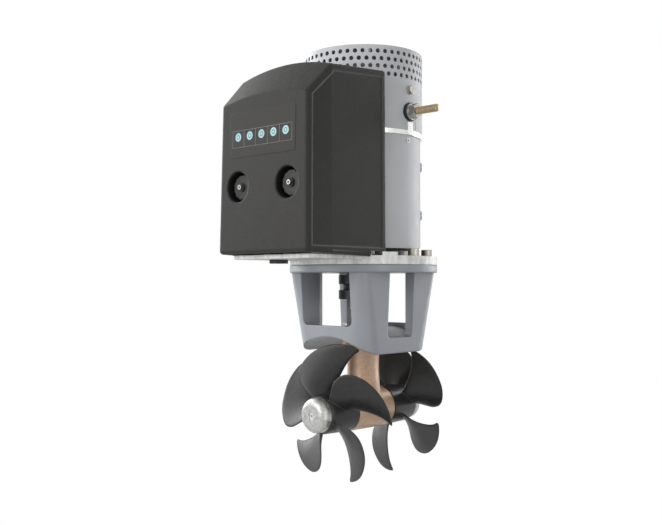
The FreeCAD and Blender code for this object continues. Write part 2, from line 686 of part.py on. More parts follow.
def leg_gasket():
    pad = oval(84, 100)
    pad = pad.common(rod_y(TUNNEL_R, -50, 50)).cut(rod_y(LEG_FLANGE_OUT, -50, 50))
    pad = pad.cut(post(SEAL_R, 80, 110))
    for y in (-LEG_BOLT_Y, LEG_BOLT_Y):
        pad = pad.cut(post(LEG_BOLT_R + 0.3, 80, 110, 0, y))
    return pad


def leg_bolts():
    """Hexagon screws from inside the bracket into the leg flange."""
    bolts = []
    for y in (-LEG_BOLT_Y, LEG_BOLT_Y):
        washer = post(8.0, FLOOR_R, FLOOR_R + 1.6, 0, y)
        head = hexagon(13.0, 5.5, point(0, y, FLOOR_R + 1.6), Z_AXIS)
        shank = post(LEG_BOLT_R, 88, FLOOR_R + 2, 0, y)
        bolts.append(head.fuse([washer, shank]).removeSplitter())
    return bolts


def shaft_seal():
    """Lip seal around the drive shaft in the top of the leg."""
    r = DRIVE_SHAFT_R + CLEARANCE
    return turned([(r, SEAL_Z + 3), (r + 1.2, SEAL_Z), (SEAL_R, SEAL_Z), (SEAL_R, SEAL_Z + 8),
                   (r + 1.2, SEAL_Z + 8), (r, SEAL_Z + 5)])


def end_cap():
    """Bearing carrier that closes the +Y end of the torpedo."""
    seat = SHAFT_BEARING_Y + SMALL_BEARING_WIDTH
    return turned([(SHAFT_BEARING_R, SHAFT_BEARING_Y), (CAVITY_R, SHAFT_BEARING_Y),
                   (CAVITY_R, TORPEDO_HALF - 1.5), (SEAL_R, TORPEDO_HALF - 1.5),
                   (SEAL_R, seat), (SHAFT_BEARING_R, seat)], Y_AXIS)


def output_seal():
    """Lip seal around the propeller shaft in the +Y end cap."""
    r = PROP_SHAFT_R + CLEARANCE
    y0 = SHAFT_BEARING_Y + SMALL_BEARING_WIDTH + 0.5
    y1 = TORPEDO_HALF - 1.7
    return turned([(r, y0 + 2), (r + 1, y0), (SEAL_R, y0), (SEAL_R, y1), (r + 1, y1), (r, y1 - 1.5)],
                  Y_AXIS)


# ---- propellers ----

def propeller_shaft():
    """Through shaft that carries both propellers."""
    reach = TORPEDO_HALF + HUB_LENGTH - 6
    shaft = rod_y(PROP_SHAFT_R, -reach, reach)
    ends = [e for e in shaft.Edges if e.Length > 10 and abs(abs(e.CenterOfMass.y) - reach) < 1e-6]
    shaft = shaft.makeChamfer(1.0, ends)
    for pin in drive_pins():
        shaft = shaft.cut(pin)
    return shaft


def drive_pins():
    pin = rod_x(PIN_R, -PIN_REACH, PIN_REACH, -PIN_Y, 0)
    return [pin, at_rear(pin)]


def blade_section(radius, angle, chord, thickness, plane_y):
    """A flat lens-shaped section across the blade, set along its helix."""
    pitch = math.atan2(BLADE_PITCH, 2 * math.pi * radius)
    turn = math.radians(angle)
    radial = point(math.sin(turn), 0, math.cos(turn))
    ahead = point(math.cos(turn), 0, -math.sin(turn))
    middle_y = plane_y + math.radians(angle + BLADE_FORWARD) * BLADE_PITCH / (2 * math.pi)

    def placed(along, off):
        across = along * math.cos(pitch) - off * math.sin(pitch)
        return radial * radius + ahead * across + Y_AXIS * (
            middle_y + along * math.sin(pitch) + off * math.cos(pitch))

    half = chord / 2
    stations = (-1.0, -0.55, 0.0, 0.55, 1.0)
    bulge = (0.15, 0.8, 1.0, 0.8, 0.15)
    upper = [placed(half * s, thickness / 2 * b) for s, b in zip(stations, bulge)]
    lower = [placed(half * s, -thickness / 2 * b) for s, b in zip(stations, bulge)]
    face = Part.BSplineCurve()
    face.interpolate(upper)
    back = Part.BSplineCurve()
    back.interpolate(list(reversed(lower)))
    return Part.Wire([face.toShape(), Part.makeLine(upper[-1], lower[-1]), back.toShape(),
                      Part.makeLine(lower[0], upper[0])])


def propeller():
    """Five-bladed propeller on the -Y side, hub open towards the leg."""
    y0 = -TORPEDO_HALF - HUB_LENGTH
    y1 = -TORPEDO_HALF - 0.4
    hub = turned([(0, y0), (HUB_R - 2.5, y0), (HUB_R, y0 + 6), (HUB_R + 1.2, y1), (0, y1)], Y_AXIS)
    plane_y = (y0 + y1) / 2
    blade = Part.makeLoft([blade_section(*s, plane_y) for s in BLADE_SECTIONS], True, False)
    blades = [spun(blade, BLADE_TURN + 360.0 / BLADES * k, Y_AXIS) for k in range(BLADES)]
    prop = hub.fuse(blades)
    prop = prop.cut(rod_y(PROP_SHAFT_R, y0 + 6, y1 + 1))
    prop = prop.cut(rod_x(PIN_R, -PIN_REACH, PIN_REACH, -PIN_Y, 0))
    return prop.cut(rod_y(3.0, y0 - 1, y0 + 7))


def anode():
    """Domed zinc on the hub's nose with a recess for its screw."""
    y0 = -TORPEDO_HALF - HUB_LENGTH
    dome = rod_y(HUB_R - 2.5, y0 - ANODE_LENGTH, y0)
    nose = [e for e in dome.Edges if abs(e.CenterOfMass.y - y0 + ANODE_LENGTH) < 1e-6]
    dome = dome.makeFillet(9.5, nose)
    dome = dome.cut(rod_y(4.5, y0 - ANODE_LENGTH - 1, y0 - ANODE_LENGTH + 5))
    return dome.cut(rod_y(3.0, y0 - 12, y0 + 1))


def anode_screw():
    y0 = -TORPEDO_HALF - HUB_LENGTH
    head = rod_y(4.4, y0 - ANODE_LENGTH + 1, y0 - ANODE_LENGTH + 5)
    screw = head.fuse(rod_y(2.9, y0 - ANODE_LENGTH + 5, y0 + 5.5)).removeSplitter()
    socket = hexagon(4.0, 3.0, point(0, y0 - ANODE_LENGTH + 0.5, 0), Y_AXIS)
    return screw.cut(socket)


def mirrored_end(shape):
    """The same piece on the other end of the propeller shaft."""
    return spun(shape, 180)


def at_rear(shape):
    """The same piece on the +Y end, at the rear propeller's turn."""
    return spun(mirrored_end(shape), REAR_TURN, Y_AXIS)


# ---- control gear and cover ----

def control_bracket():
    """Bent sheet: a foot on the tongue and an upright behind the control gear."""
    left, right = COVER_X - BRACKET_HALF, COVER_X + BRACKET_HALF
    foot = block(left, right, BRACKET_Y - 44, BRACKET_Y, PLATE_Z1, PLATE_Z1 + BRACKET_SHEET)
    foot = foot.cut(post(13, PLATE_Z1 - 1, PLATE_Z1 + 4, GLAND_X, GLAND_Y))
    upright = block(left, right, BRACKET_Y - BRACKET_SHEET, BRACKET_Y, PLATE_Z1, BRACKET_TOP)
    corners = [e for e in upright.Edges
               if abs(e.Vertexes[0].Z - BRACKET_TOP) < 1e-6 and abs(e.Vertexes[1].Z - BRACKET_TOP) < 1e-6
               and abs(e.Vertexes[0].X - e.Vertexes[1].X) < 1e-6]
    upright = upright.makeFillet(12.0, corners)
    sheet = foot.fuse(upright).removeSplitter()
    sheet = sheet.cut(post(9.5, PLATE_Z1 - 1, PLATE_Z1 + 12, 0, -BOLT_CIRCLE_R))
    for x in knob_places():
        sheet = sheet.cut(rod_y(STUD_R, BRACKET_Y - 5, BRACKET_Y + 1, x, KNOB_Z))
    return sheet


def knob_places():
    return (COVER_X - KNOB_X, COVER_X + KNOB_X)


def cover_studs():
    """Stand-off rods that the cover's thumb nuts screw on to."""
    studs = []
    for x in knob_places():
        rod = rod_y(5.0, KNOB_SEAT_Y + 5, BRACKET_Y - BRACKET_SHEET, x, KNOB_Z)
        thread = rod_y(STUD_R, STUD_TIP_Y, BRACKET_Y, x, KNOB_Z)
        studs.append(rod.fuse(thread).removeSplitter())
    return studs


def contactor_posts(x, z0, z1):
    return [post(CONTACTOR_POST_R, z0, z1, x, CONTACTOR_Y + dy)
            for dy in (-CONTACTOR_POST_Y, CONTACTOR_POST_Y)]


def contactors():
    """Two solenoid switches: turned steel can, moulded cap and two copper posts each."""
    pair = []
    for x in (COVER_X - CONTACTOR_X, COVER_X + CONTACTOR_X):
        can = post(CONTACTOR_R, PLATE_Z1 + BRACKET_SHEET, CONTACTOR_TOP - 14, x, CONTACTOR_Y)
        cap = post(CONTACTOR_R - 1.5, CONTACTOR_TOP - 14, CONTACTOR_TOP, x, CONTACTOR_Y)
        studs = contactor_posts(x, CONTACTOR_TOP, CONTACTOR_TOP + 12)
        pair.append(can.fuse([cap] + studs).removeSplitter())
    return pair


def busbars():
    """Copper links across the two contactors."""
    bars = []
    reach = CONTACTOR_X + 8
    for y in (CONTACTOR_Y - CONTACTOR_POST_Y, CONTACTOR_Y + CONTACTOR_POST_Y):
        bar = block(COVER_X - reach, COVER_X + reach, y - 6, y + 6, CONTACTOR_TOP, CONTACTOR_TOP + 3)
        for x in (COVER_X - CONTACTOR_X, COVER_X + CONTACTOR_X):
            bar = bar.cut(Part.makeCompound(contactor_posts(x, CONTACTOR_TOP - 1, CONTACTOR_TOP + 5)))
        bars.append(bar)
    return bars


def control_box():
    """Electronic controller on the upright, with a lid step and a connector."""
    back = BRACKET_Y - BRACKET_SHEET
    box = block(-34, 34, back - 40, back, 304, 384)
    edges = [e for e in box.Edges if abs(e.Vertexes[0].Y - e.Vertexes[1].Y) > 10]
    box = box.makeFillet(5.0, edges)
    lid = block(-30, 30, back - 44, back - 40, 308, 380)
    plug = block(-12, 12, back - 31.5, back - 13.5, 296, 304)
    box = box.fuse([lid, plug]).removeSplitter()
    box.translate(point(COVER_X, 0, 0))
    return box


def cable_gland():
    """Gland for the control lead, through the tongue."""
    body = post(GLAND_R, EXTENSION_Z0, PLATE_Z1, GLAND_X, GLAND_Y)
    lower = hexagon(21.0, 5.0, point(GLAND_X, GLAND_Y, EXTENSION_Z0 - 5), Z_AXIS)
    collar = post(11.0, PLATE_Z1, PLATE_Z1 + 2.4, GLAND_X, GLAND_Y)
    gland = body.fuse([lower, collar]).removeSplitter()
    return gland.cut(post(4.5, EXTENSION_Z0 - 7, PLATE_Z1 + 5, GLAND_X, GLAND_Y))


def cover_frame(y_low, y_high, half_low, half_high, z_low, z_high, rise):
    """One cross frame of the cover: upright sides under a crowned top."""
    p = [point(-half_low, y_low, z_low), point(half_low, y_low, z_low),
         point(half_high, y_high, z_high), point(-half_high, y_high, z_high)]
    crown_y = y_high + (y_high - y_low) * rise / (z_high - z_low)
    crown = Part.Arc(p[2], point(0, crown_y, z_high + rise), p[3]).toShape()
    return Part.Wire([Part.makeLine(p[0], p[1]), Part.makeLine(p[1], p[2]), crown,
                      Part.makeLine(p[3], p[0])])


def cover_block(narrower=0.0):
    """The cover's outer form about its own middle, with its sides moved in if asked."""
    return Part.makeLoft([cover_frame(y0, y1, low - narrower, high - narrower, z0, z1, rise)
                          for y0, y1, low, high, z0, z1, rise in COVER_FRAMES], True, True)


def cover_hollow():
    """Space inside the cover, running out below and behind."""
    beyond = 20.0
    wires = []
    for k, (y0, y1, low, high, z0, z1, rise) in enumerate(COVER_FRAMES):
        back = (COVER_WALL, COVER_WALL * 0.4, beyond)[k]
        wires.append(cover_frame(y0 + back, y1 + back, low - COVER_WALL, high - COVER_WALL,
                                 z0 - beyond, z1 - COVER_WALL, rise))
    return Part.makeLoft(wires, True, True)


def is_soft_edge(edge):
    """Front corners, the bevel, the top and the lower rim, but not the open rear rim."""
    box = edge.BoundBox
    upright = box.ZLength > 150 and box.YMax < -160
    return upright or ((box.ZMin > 380 or box.ZMax < 210) and box.YMin < COVER_REAR_Y - 2)


def side_panels():
    """Thin slabs that sink the side panels inside their border."""
    front, ridge, rear = COVER_FRAMES
    low = front[4] + COVER_BORDER
    outline = [(front[0] + COVER_BORDER, low), (front[1] + COVER_BORDER, front[5] - COVER_BORDER / 3),
               (ridge[1] + COVER_BORDER / 2, ridge[5] - COVER_BORDER),
               (rear[1] - COVER_BORDER / 2, rear[5] - COVER_BORDER), (rear[0] - COVER_BORDER / 2, low)]
    across = prism([point(-100, y, z) for y, z in outline], point(200, 0, 0))
    return across.cut(cover_block(COVER_STEP))


def control_cover():
    """Moulded shell, open below and behind, with two cups for the thumb nuts."""
    outer = cover_block()
    outer = outer.makeFillet(COVER_EDGE_R, [e for e in outer.Edges if is_soft_edge(e)])
    shell = outer.cut(cover_hollow()).cut(side_panels())
    shell = shell.cut(block(-100, 100, -74, -40, 190, 207))
    for x in (-KNOB_X, KNOB_X):
        cup = rod_y(KNOB_CUP_R + 2.5, KNOB_SEAT_Y - 14, KNOB_SEAT_Y + 3, x, KNOB_Z)
        shell = shell.fuse(cup.common(cover_block()))
        shell = shell.cut(rod_y(KNOB_CUP_R, -200, KNOB_SEAT_Y, x, KNOB_Z))
        shell = shell.cut(rod_y(STUD_R + 0.6, -200, KNOB_SEAT_Y + 4, x, KNOB_Z))
    shell.translate(point(COVER_X, 0, 0))
    return shell.cut(post(BAND_R + 1.8, 190, MOTOR_TOP)).removeSplitter()


def thumb_nut(x):
    """Knurled nut inside a cover cup."""
    knob = rod_y(KNOB_R, KNOB_SEAT_Y - 11, KNOB_SEAT_Y - 3, x, KNOB_Z)
    neck = rod_y(8.0, KNOB_SEAT_Y - 3, KNOB_SEAT_Y - 0.05, x, KNOB_Z)
    collar = rod_y(5.5, KNOB_SEAT_Y - 13, KNOB_SEAT_Y - 11, x, KNOB_Z)
    nut = knob.fuse([neck, collar]).removeSplitter()
    groove = rod_y(1.6, KNOB_SEAT_Y - 12, KNOB_SEAT_Y - 2, x + KNOB_R + 0.6, KNOB_Z)
    centre = point(x, 0, KNOB_Z)
    for k in range(12):
        nut = nut.cut(spun(groove, 30 * k, Y_AXIS, centre))
    return nut.cut(rod_y(STUD_R + CLEARANCE, -190, KNOB_SEAT_Y + 1, x, KNOB_Z))


def main():
    os.makedirs("parts", exist_ok=True)
    save("motor_bracket", motor_bracket())
    save("adapter_plate", adapter_plate())
    save("adapter_bolts", *adapter_bolts())
    save("motor_yoke", motor_yoke())
    save("pole_shoes", *pole_shoes())
    save("field_coils", *field_coils())
    save("pole_screws", *pole_screws())
    save("drive_end_bell", drive_end_bell())
    save("lower_motor_bearing",
         *moved(bearing(SHAFT_R, LOWER_BEARING_R, BEARING_WIDTH), 0, 0, LOWER_BEARING_Z))
    save("upper_motor_bearing",
         *moved(bearing(SHAFT_TOP_R, UPPER_BEARING_R, TOP_BEARING_WIDTH), 0, 0, UPPER_BEARING_Z))
    save("perforated_band", perforated_band())
    save("clamp_ring", clamp_ring())
    save("top_shield", top_shield())
    save("brush_ring", brush_ring())
    save("brushes", *brushes())
    save("brush_springs", *brush_springs())
    save("terminal_insulator", terminal_insulator())
    save("terminal_stud", terminal_stud())
    save("terminal_washers", *terminal_washers())
    save("terminal_nut", terminal_nut())
    save("band_bolt", band_bolt())
    save("inspection_tag", inspection_tag())

    save("armature_shaft", armature_shaft())
    save("armature_core", armature_core())
    save("armature_windings", armature_windings())
    save("commutator", commutator())
    inner_rings = moved(bearing(SHAFT_R, LOWER_BEARING_R, BEARING_WIDTH, True), 0, 0, LOWER_BEARING_Z)
    inner_rings += moved(bearing(SHAFT_TOP_R, UPPER_BEARING_R, TOP_BEARING_WIDTH, True), 0, 0,
                         UPPER_BEARING_Z)
    inner_rings += moved(bearing(DRIVE_SHAFT_R, PINION_BEARING_R, SMALL_BEARING_WIDTH, True), 0, 0,
                         PINION_BEARING_Z)
    save("rotor_bearing_inner_rings", *inner_rings)
    save("coupling_upper", coupling_upper())
    save("coupling_element", coupling_element())
    save("coupling_lower", coupling_lower())
    save("drive_shaft", drive_shaft())
    save("drive_pinion", drive_pinion())

    save("gear_leg", gear_leg())
    save("leg_gasket", leg_gasket())
    save("leg_bolts", *leg_bolts())
    save("drive_shaft_seal", shaft_seal())
    save("pinion_bearing",
         *moved(bearing(DRIVE_SHAFT_R, PINION_BEARING_R, SMALL_BEARING_WIDTH), 0, 0, PINION_BEARING_Z))
    save("rear_end_cap", end_cap())
    save("front_end_cap", mirrored_end(end_cap()))
    save("shaft_seals", output_seal(), mirrored_end(output_seal()))
    shaft_outer = lying(bearing(PROP_SHAFT_R, SHAFT_BEARING_R, SMALL_BEARING_WIDTH), SHAFT_BEARING_Y)
    save("shaft_bearings", *(shaft_outer + [mirrored_end(s) for s in shaft_outer]))
    shaft_inner = lying(bearing(PROP_SHAFT_R, SHAFT_BEARING_R, SMALL_BEARING_WIDTH, True), SHAFT_BEARING_Y)
    save("shaft_bearing_inner_rings", *(shaft_inner + [mirrored_end(s) for s in shaft_inner]))

    save("propeller_shaft", propeller_shaft())
    save("output_gear", output_gear())
    save("drive_pins", *drive_pins())
    save("front_propeller", propeller())
    save("rear_propeller", at_rear(propeller()))
    save("front_anode", anode())
    save("rear_anode", mirrored_end(anode()))
    save("anode_screws", anode_screw(), mirrored_end(anode_screw()))

    save("control_bracket", control_bracket())
    save("cover_studs", *cover_studs())
    save("contactors", *contactors())
    save("busbars", *busbars())
    save("control_box", control_box())
    save("cable_gland", cable_gland())
    save("control_cover", control_cover())
    save("left_thumb_nut", thumb_nut(COVER_X - KNOB_X))
    save("right_thumb_nut", thumb_nut(COVER_X + KNOB_X))


main()
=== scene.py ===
import json
import math

import bmesh
import bpy
from mathutils import Matrix, Vector


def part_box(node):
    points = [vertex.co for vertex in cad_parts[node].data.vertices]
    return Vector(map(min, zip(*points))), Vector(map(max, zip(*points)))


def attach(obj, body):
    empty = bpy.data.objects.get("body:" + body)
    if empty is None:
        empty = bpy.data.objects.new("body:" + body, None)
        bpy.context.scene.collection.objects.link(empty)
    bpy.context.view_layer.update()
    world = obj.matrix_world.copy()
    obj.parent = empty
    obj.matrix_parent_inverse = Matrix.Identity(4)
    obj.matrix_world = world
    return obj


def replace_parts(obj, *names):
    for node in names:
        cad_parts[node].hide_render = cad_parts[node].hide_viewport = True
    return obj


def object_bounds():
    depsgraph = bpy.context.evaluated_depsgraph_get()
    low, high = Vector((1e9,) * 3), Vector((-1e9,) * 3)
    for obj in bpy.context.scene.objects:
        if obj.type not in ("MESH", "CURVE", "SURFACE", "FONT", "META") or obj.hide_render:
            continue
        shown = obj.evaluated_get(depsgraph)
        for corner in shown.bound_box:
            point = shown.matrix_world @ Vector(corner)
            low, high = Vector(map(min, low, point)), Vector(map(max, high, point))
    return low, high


# Visual model of the bow thruster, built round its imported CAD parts.
# Z is up, the motor's axis is x = y = 0, and the cover faces -Y.

MM = 0.001

# ---- camera, light and stage, in metres and degrees ----
CAMERA_AZIMUTH = 41.0      # round the motor axis from the cover's front
CAMERA_DISTANCE = 1.200
CAMERA_HEIGHT = 0.169
CAMERA_YAW = 2.07          # the motor stands right of the middle of the frame
CAMERA_PITCH = 1.24
LENS = 48.55               # mm, as the sensor
SENSOR = 36.0
FLOOR_DROP = 0.36          # floor below the propellers
FLOOR_RADIUS = 1.0
FLOOR_CLEAR = 0.45         # share of the floor that keeps its shadow in full
FLOOR_FADED = 0.98         # share at which it is all white
FLOOR_PALE = 0.86
FLOOR_BOUNCE = 0.3         # its paleness as the light that it throws back sees it
WORLD_LEVEL = 0.5
LIGHT_AIM_HEIGHT = 0.2
# name, degrees from the camera, height, distance, width and height of the panel, watts
LIGHTS = (("key", -55, 0.6, 1.5, (1.0, 1.0), 15),
          ("left", -120, 0.7, 1.4, (0.8, 1.2), 18),
          ("fill", 30, 0.2, 1.8, (0.8, 1.4), 7),
          ("rim", 125, 0.5, 1.5, (0.6, 1.2), 10))

# ---- pieces that refine or add to CAD nodes, in mm and degrees ----
FINE, MEDIUM, COARSE = 96, 48, 32                  # sides of round pieces
BAND_R = 79.0
BAND_WALL = 1.6
VENTS_PER_ROW = 51
VENT_ROWS = 4
VENT_FIRST = 7.8           # from the band's top to its first row
VENT_PITCH = 9.4           # from row to row
VENT_R = 2.8
VENT_COLUMNS = 4           # mesh columns across one vent
SLIT_TURN = 10.0           # from the terminal to the slit in the band's lower edge
SLIT_WIDTH = 1.0
SLIT_HEIGHT = 17.0
TERMINAL_R = 5.0
TERMINAL_PLAIN_R = 5.25    # the part hidden by the nut
NUT_END_X = 92.8
THREAD_GAP = 0.3           # from the nut's end to the start of the thread
THREAD_PITCH = 1.5
THREAD_DEPTH = 0.75
THREAD_CHAMFER = 1.0
THREAD_SIDES = 32
THREAD_STEPS = 8           # along the rod, per turn
COVER_MIDDLE = -5.0
COVER_FRONT = ((-182.0, 203.0), (-179.0, 389.0))   # y and z along the cover's front face
COVER_HIGHLIGHT_Y = -179.5       # painted highlights lie along the cover's edges behind this
CUP_X = 43.5
CUP_Z = 286.0
CUP_R = 19.4
CUP_SEAT_Y = -162.0
NUT_RING = (3.3, 5.4, 0.05)                        # inner and outer radius, height
STUD_END = (1.5, 0.04)                             # radius, height
TAG_DOT_R = 1.1
LABEL_X = (-63.0, 52.0)
LABEL_Z = (322.0, 378.0)
FRAME_X = (-58.5, 46.5)
FRAME_Z = (334.5, 355.5)
FRAME_LINE = 0.35
LABEL_FIELDS = 5
LABEL_CORNER_R = 3.0
CORNER_STEPS = 6
LABEL_TOP = 0.2            # above the cover's front face
FRAME_TOP = 0.26
DISC_Z = 347.5
DISC_R = 5.3
DISC_HEIGHT = 0.06         # above the label
RING = (2.0, 2.7, 0.1)     # inner and outer radius, height above the label

# Propellers: finely lofted blades on the CAD hubs' forms.
TORPEDO_HALF = 36.0
HUB_GAP = 0.4              # from the torpedo's end to the hub
HUB_LENGTH = 50.0
HUB_R = 25.0
BLADE_COUNT = 5
BLADE_TURN = 27.0          # of the first blade's tip line from straight up
REAR_TURN = -20.0          # the rear propeller's own turn on the shaft
BLADE_PITCH = 210.0
BLADE_FORWARD = 25.0       # angle that moves the sections along the helix, to centre them on the hub
BLADE_STEPS = 6            # sections from one station to the next
BLADE_SIDES = 28
# radius, mid-chord angle ahead of the tip line, chord, thickness
BLADE_STATIONS = ((22.0, -42.0, 27.0, 6.0), (36.0, -43.0, 40.0, 4.8), (52.0, -41.5, 57.0, 4.0),
                  (68.0, -36.0, 67.0, 3.2), (80.0, -27.0, 61.0, 2.6), (86.5, -18.0, 46.0, 2.1),
                  (89.5, -13.0, 30.0, 1.7), (90.2, -11.0, 14.0, 1.2))

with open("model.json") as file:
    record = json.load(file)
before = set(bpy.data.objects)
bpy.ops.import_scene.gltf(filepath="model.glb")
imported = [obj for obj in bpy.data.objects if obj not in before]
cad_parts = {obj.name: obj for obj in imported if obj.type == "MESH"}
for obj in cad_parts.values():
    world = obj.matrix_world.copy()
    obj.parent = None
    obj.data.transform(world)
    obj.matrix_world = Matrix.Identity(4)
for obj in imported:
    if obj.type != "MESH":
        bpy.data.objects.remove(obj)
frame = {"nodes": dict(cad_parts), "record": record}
cad_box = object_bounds()
NODES = frame["nodes"]


# ---- shader helpers ----

def linear(level):
    """One 0-255 display level as a linear value."""
    v = level / 255.0
    return v / 12.92 if v <= 0.04045 else ((v + 0.055) / 1.055) ** 2.4


def rgb(r, g, b):
    """A display colour as linear values with full alpha."""
    return (linear(r), linear(g), linear(b), 1.0)


class Finish:
    """A Principled material with helpers that add procedural detail to it."""

    def __init__(self, name, roughness=0.5, metallic=0.0, specular=0.5):
        self.material = bpy.data.materials.new(name)
        self.material.use_nodes = True
        self.tree = self.material.node_tree
        self.shader = self.tree.nodes["Principled BSDF"]
        self.shader.inputs["Roughness"].default_value = roughness
        self.shader.inputs["Metallic"].default_value = metallic
        self.shader.inputs["Specular IOR Level"].default_value = specular
        self.coordinates = self.add("ShaderNodeTexCoord").outputs["Object"]

    def add(self, kind, **inputs):
        """A new node with its inputs set by name, _ for a space."""
        node = self.tree.nodes.new(kind)
        for name, value in inputs.items():
            node.inputs[name.replace("_", " ")].default_value = value
        return node

    def link(self, source, target):
        self.tree.links.new(source, target)

    def noise(self, size, detail=4.0, rough=0.55, stretch=None):
        """Noise whose features are about size metres across, 0 to 1."""
        node = self.add("ShaderNodeTexNoise", Scale=1.0 / size, Detail=detail, Roughness=rough)
        source = self.coordinates
        if stretch:
            mapping = self.add("ShaderNodeMapping")
            mapping.inputs["Scale"].default_value = stretch
            self.link(source, mapping.inputs["Vector"])
            source = mapping.outputs["Vector"]
        self.link(source, node.inputs["Vector"])
        return node.outputs["Fac"]

    def cells(self, size):
        """Distance to the middle of the nearest cell, cells about size metres across."""
        node = self.add("ShaderNodeTexVoronoi", Scale=1.0 / size)
        self.link(self.coordinates, node.inputs["Vector"])
        return node.outputs["Distance"]

    def bands(self, scale, distortion):
        """Level bands stacked along Z, 0 to 1."""
        node = self.add("ShaderNodeTexWave", Scale=scale, Distortion=distortion)
        node.bands_direction = "Z"
        self.link(self.coordinates, node.inputs["Vector"])
        return node.outputs["Fac"]

    def spread(self, source, low, high, start=0.3, end=0.7):
        """Maps the source's range from start to end onto low to high."""
        node = self.add("ShaderNodeMapRange")
        for key, value in (("From Min", start), ("From Max", end), ("To Min", low), ("To Max", high)):
            node.inputs[key].default_value = value
        self.link(source, node.inputs["Value"])
        return node.outputs["Result"]

    def colours(self, source, *stops):
        """Base colour from a ramp of two (position, colour) stops."""
        ramp = self.add("ShaderNodeValToRGB")
        for element, (position, colour) in zip(ramp.color_ramp.elements, stops):
            element.position = position
            element.color = colour
        self.link(source, ramp.inputs["Fac"])
        self.link(ramp.outputs["Color"], self.shader.inputs["Base Color"])

    def vary(self, colour, amount, size):
        """One colour, a little lighter and darker in soft patches."""
        dark = tuple(c * (1 - amount) for c in colour[:3]) + (1.0,)
        light = tuple(min(1.0, c * (1 + amount)) for c in colour[:3]) + (1.0,)
        self.colours(self.noise(size, 5.0), (0.30, dark), (0.70, light))

    def roughen(self, low, high, size):
        """Roughness that wanders between two values."""
        self.link(self.spread(self.noise(size), low, high), self.shader.inputs["Roughness"])

    def paint_edge_highlights(self, radius, amount, behind_y):
        """Painted highlight: base colour mixed towards white where the surface turns, on the +Y side of a
        plane.
        """
        bevel = self.add("ShaderNodeBevel", Radius=radius)
        bevel.samples = 8
        geometry = self.add("ShaderNodeNewGeometry")
        turned = self.add("ShaderNodeVectorMath")
        turned.operation = "DOT_PRODUCT"
        self.link(bevel.outputs["Normal"], turned.inputs[0])
        self.link(geometry.outputs["Normal"], turned.inputs[1])
        axes = self.add("ShaderNodeSeparateXYZ")
        self.link(self.coordinates, axes.inputs["Vector"])
        fade = 3 * MM
        most = self.spread(axes.outputs["Y"], 0.0, amount, behind_y, behind_y + fade)
        share = self.spread(turned.outputs["Value"], 0.0, 0.0, 0.90, 0.998)
        self.link(most, share.node.inputs["To Min"])
        base = self.shader.inputs["Base Color"].links[0].from_socket
        mix = self.add("ShaderNodeMix")
        mix.data_type = "RGBA"
        mix.inputs[7].default_value = (1, 1, 1, 1)
        self.link(share, mix.inputs[0])
        self.link(base, mix.inputs[6])
        self.link(mix.outputs[2], self.shader.inputs["Base Color"])

    def bump(self, *layers, edge=0.0):
        """Bumps on each other, as (height source, metres), over edges rounded by the edge radius."""
        normal = None
        if edge:
            bevel = self.add("ShaderNodeBevel", Radius=edge)
            bevel.samples = 6
            normal = bevel.outputs["Normal"]
        for source, height in layers:
            node = self.add("ShaderNodeBump", Strength=1.0, Distance=height)
            self.link(source, node.inputs["Height"])
            if normal:
                self.link(normal, node.inputs["Normal"])
            normal = node.outputs["Normal"]
        self.link(normal, self.shader.inputs["Normal"])


# ---- finishes ----

def painted(name, colour, roughness, edge=0.0008, specular=0.5):
    """Sprayed satin paint with a faint orange peel."""
    f = Finish(name, roughness, 0.0, specular)
    f.vary(colour, 0.05, 0.05)
    f.roughen(roughness - 0.05, roughness + 0.07, 0.012)
    f.bump((f.noise(0.0016, 2.0), 0.00004), edge=edge)
    return f.material


def cast(name, dark, light, roughness, metallic, grain, height, patch=0.004, stretch=None):
    """Sand-cast or blasted metal: mottled at two scales, with a grainy skin."""
    f = Finish(name, roughness, metallic)
    f.colours(f.noise(patch, 8.0, 0.7, stretch), (0.32, dark), (0.68, light))
    f.roughen(roughness - 0.08, roughness + 0.1, 0.006)
    f.bump((f.noise(0.006, 3.0), height * 2), (f.noise(grain, 4.0, 0.7), height), edge=0.0012)
    return f.material


def machined(name, colour, roughness, metallic=1.0):
    """Turned or plated metal with a fine, even sheen."""
    f = Finish(name, roughness, metallic)
    f.vary(colour, 0.05, 0.006)
    f.roughen(roughness - 0.06, roughness + 0.08, 0.002)
    f.bump((f.noise(0.0006, 3.0), 0.000012), edge=0.0004)
    return f.material


def moulded(name, colour, roughness, grain=0.0009, height=0.00005, tint=0.05, specular=0.35):
    """Spark-textured plastic."""
    f = Finish(name, roughness, 0.0, specular)
    f.vary(colour, tint, 0.02)
    f.roughen(roughness - 0.05, roughness + 0.07, 0.004)
    f.bump((f.cells(grain), height), (f.noise(grain * 3, 3.0), height), edge=0.0006)
    return f.material


def cover_shell(name, colour):
    """Grained moulding with painted highlights along its edges."""
    f = Finish(name, 0.52, 0.0, 0.2)
    f.vary(colour, 0.06, 0.02)
    # painted highlight along the cover's edges
    f.paint_edge_highlights(0.0035, 0.12, COVER_HIGHLIGHT_Y * MM)
    f.roughen(0.48, 0.6, 0.004)
    f.bump((f.cells(0.0012), 0.00008), (f.noise(0.003, 3.0), 0.00008), edge=0.003)
    return f.material


def composite(name):
    """Black glass-filled composite, smooth, with faint flow marks."""
    f = Finish(name, 0.36, 0.0, 0.35)
    flow = f.noise(0.006, 6.0, 0.6, stretch=(1.0, 0.25, 1.0))
    f.colours(flow, (0.3, rgb(32, 32, 32)), (0.7, rgb(44, 44, 43)))
    f.link(f.spread(flow, 0.32, 0.44), f.shader.inputs["Roughness"])
    f.bump((f.noise(0.0012, 3.0), 0.00003), edge=0.0018)
    return f.material


def wound(name):
    """Lacquered copper turns."""
    f = Finish(name, 0.3, 0.9)
    f.vary(rgb(176, 98, 52), 0.2, 0.003)
    f.bump((f.bands(320.0, 0.6), 0.0003))
    return f.material


